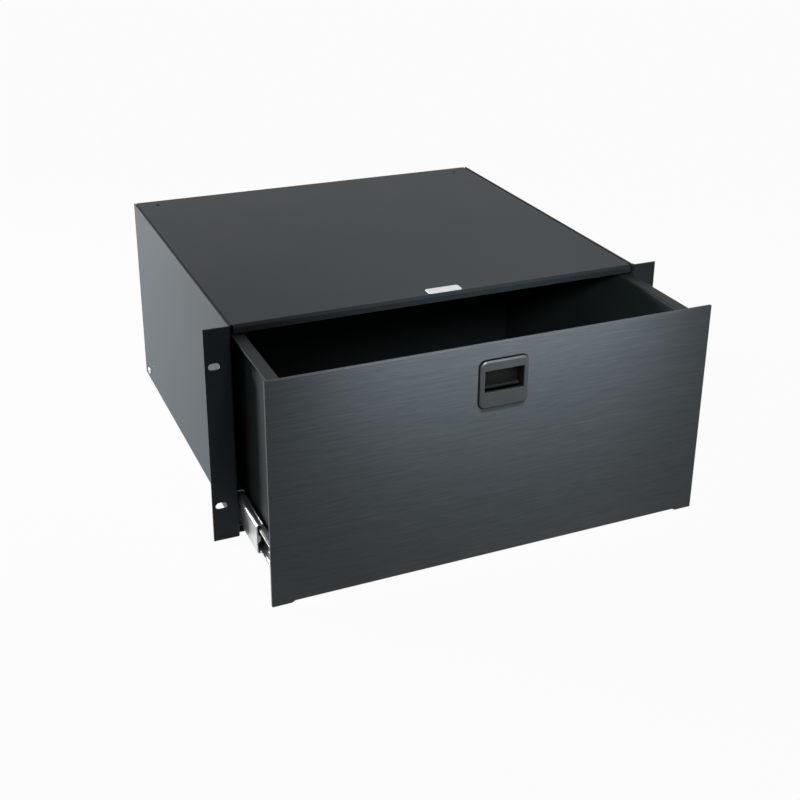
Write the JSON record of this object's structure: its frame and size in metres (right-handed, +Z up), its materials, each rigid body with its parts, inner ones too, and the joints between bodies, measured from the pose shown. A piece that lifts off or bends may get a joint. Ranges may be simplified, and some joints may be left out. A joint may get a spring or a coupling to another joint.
{
  "type": "sliding rack drawer",
  "caption": "Rack-mount drawer: a flanged sheet-metal case with rack ears, and a flat-fronted drawer with a recessed paddle latch on ball-bearing slides.",
  "frame": {"origin": "centre of the rectangle of the four ear slots, on the front plane of the rack ears", "axes": "+X to the right seen from the front, +Y to the rear of the rack, +Z up"},
  "size_m": [0.4826, 0.5266, 0.2214],
  "materials": {
    "case_paint": "dark slate textured powder coat",
    "face_metal": "brushed along its width, dark anodised",
    "drawer_paint": "black satin powder coat",
    "zinc_steel": "bright zinc plate",
    "ball_steel": "polished bearing steel",
    "screw_steel": "zinc plated",
    "latch_plastic": "semi-gloss black moulding",
    "bolt_plastic": "satin black acetal",
    "spring_steel": "bright drawn wire",
    "nylon": "natural nylon",
    "badge_metal": "fine satin"
  },
  "bodies": {
    "case": {"case_side_left": "case_paint", "case_side_right": "case_paint", "case_top": "case_paint", "case_back": "case_paint", "case_brace": "case_paint", "badge_plate": "badge_metal", "case_rear_screws": "screw_steel", "case_rear_nuts": "screw_steel", "slide_outer_left": "zinc_steel", "slide_outer_right": "zinc_steel"},
    "drawer": {"drawer_side_left": "drawer_paint", "drawer_side_right": "drawer_paint", "drawer_floor": "drawer_paint", "drawer_front": "drawer_paint", "drawer_back": "drawer_paint", "slide_inner_left": "zinc_steel", "slide_inner_right": "zinc_steel", "slide_screws_left": "screw_steel", "slide_screws_right": "screw_steel", "slide_nuts_left": "screw_steel", "slide_nuts_right": "screw_steel", "face_plate": "face_metal", "face_studs": "screw_steel", "face_nuts": "screw_steel", "latch_housing": "latch_plastic", "latch_pin": "screw_steel", "latch_spring": "spring_steel"},
    "latch_paddle": {"latch_paddle": "latch_plastic"},
    "latch_bolt": {"latch_bolt": "bolt_plastic"},
    "middle_left": {"slide_middle_left": "zinc_steel", "slide_bumper_left": "nylon"},
    "outer_cage_left": {"outer_ball_cage_left": "zinc_steel", "outer_balls_left": "ball_steel"},
    "inner_cage_left": {"inner_ball_cage_left": "zinc_steel", "inner_balls_left": "ball_steel"},
    "middle_right": {"slide_middle_right": "zinc_steel", "slide_bumper_right": "nylon"},
    "outer_cage_right": {"outer_ball_cage_right": "zinc_steel", "outer_balls_right": "ball_steel"},
    "inner_cage_right": {"inner_ball_cage_right": "zinc_steel", "inner_balls_right": "ball_steel"}
  },
  "joints": [
    {"name": "drawer_slide", "type": "slide", "parent": "case", "child": "drawer", "axis": [0, -1, 0], "range_m": [-0.1206, 0.235]},
    {"name": "middle_slide_left", "type": "slide", "parent": "case", "child": "middle_left", "axis": [0, -1, 0], "range_m": [-0.0603, 0.1175]},
    {"name": "outer_cage_slide_left", "type": "slide", "parent": "case", "child": "outer_cage_left", "axis": [0, -1, 0], "range_m": [-0.03015, 0.05875]},
    {"name": "inner_cage_slide_left", "type": "slide", "parent": "case", "child": "inner_cage_left", "axis": [0, -1, 0], "range_m": [-0.09045, 0.17625]},
    {"name": "middle_slide_right", "type": "slide", "parent": "case", "child": "middle_right", "axis": [0, -1, 0], "range_m": [-0.0603, 0.1175]},
    {"name": "outer_cage_slide_right", "type": "slide", "parent": "case", "child": "outer_cage_right", "axis": [0, -1, 0], "range_m": [-0.03015, 0.05875]},
    {"name": "inner_cage_slide_right", "type": "slide", "parent": "case", "child": "inner_cage_right", "axis": [0, -1, 0], "range_m": [-0.09045, 0.17625]},
    {"name": "latch_bolt_slide", "type": "slide", "parent": "drawer", "child": "latch_bolt", "axis": [0, 0, -1], "range_m": [-0.0031, 0.001], "stiffness_N_per_m": 600, "deforming": ["latch_spring"]},
    {"name": "latch_paddle_pivot", "type": "hinge", "parent": "drawer", "child": "latch_paddle", "pos_m": [0, -0.1136, 0.08225], "axis": [-1, 0, 0], "range_deg": [-20, 6.5]}
  ],
  "couplings": [
    {"joint": "middle_slide_left", "follows": "drawer_slide", "ratio": 0.5},
    {"joint": "outer_cage_slide_left", "follows": "drawer_slide", "ratio": 0.25},
    {"joint": "inner_cage_slide_left", "follows": "drawer_slide", "ratio": 0.75},
    {"joint": "middle_slide_right", "follows": "drawer_slide", "ratio": 0.5},
    {"joint": "outer_cage_slide_right", "follows": "drawer_slide", "ratio": 0.25},
    {"joint": "inner_cage_slide_right", "follows": "drawer_slide", "ratio": 0.75},
    {"joint": "latch_paddle_pivot", "follows": "latch_bolt_slide", "rad_per_m": 112}
  ]
}
